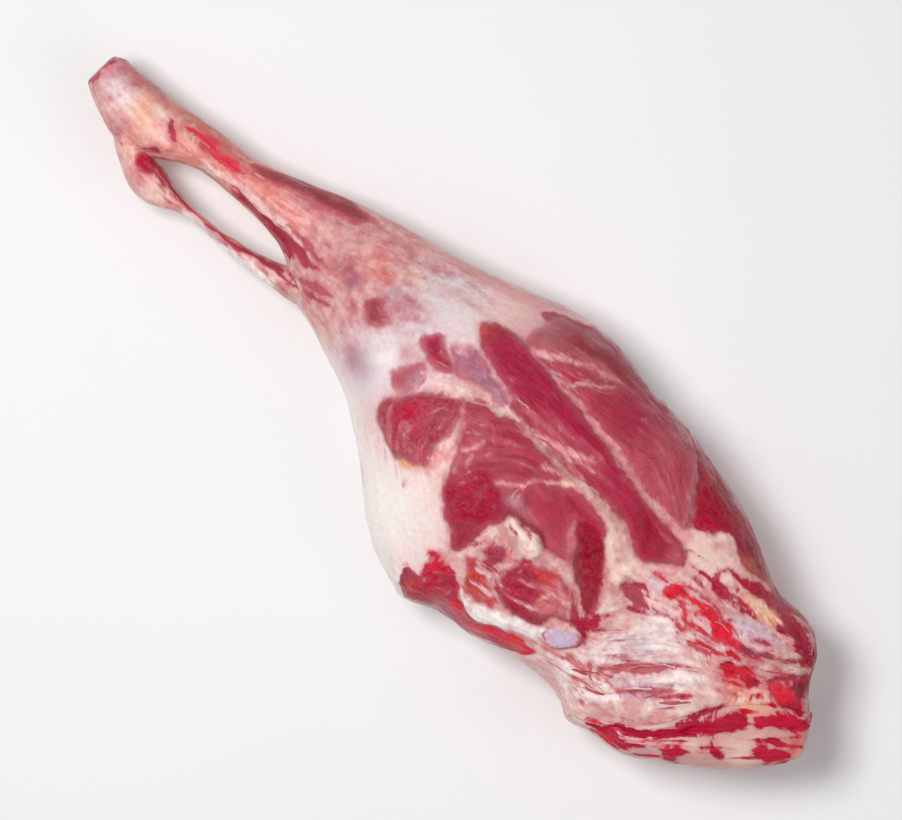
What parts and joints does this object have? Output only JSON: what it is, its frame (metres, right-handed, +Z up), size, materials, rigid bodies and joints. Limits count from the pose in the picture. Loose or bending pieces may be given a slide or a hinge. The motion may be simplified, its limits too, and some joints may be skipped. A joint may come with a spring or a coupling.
{
  "type": "raw leg of lamb",
  "caption": "Raw whole leg of lamb on the bone, inner side up, with hock, heel tendon, fat cover, cut hip bone and sawn backbone.",
  "frame": {"origin": "under the middle of the leg's length, width and height box, in the plane that it rests on", "axes": "+X along the leg from the hock to the rump, +Y across it from the tendon side to the knee side, +Z up out of the inner face"},
  "size_m": [0.452, 0.151, 0.0898],
  "materials": {
    "meat": "moist raw lean in deep crimson and dusky rose, with white and cream fat, pink membrane and pale seams",
    "bone": "sawn spongy bone, blood red, with white discs between the blocks",
    "cartilage": "wet bluish white cartilage"
  },
  "bodies": {
    "root": {"leg": "meat", "backbone": "bone", "hip_bone": "cartilage"}
  },
  "joints": []
}
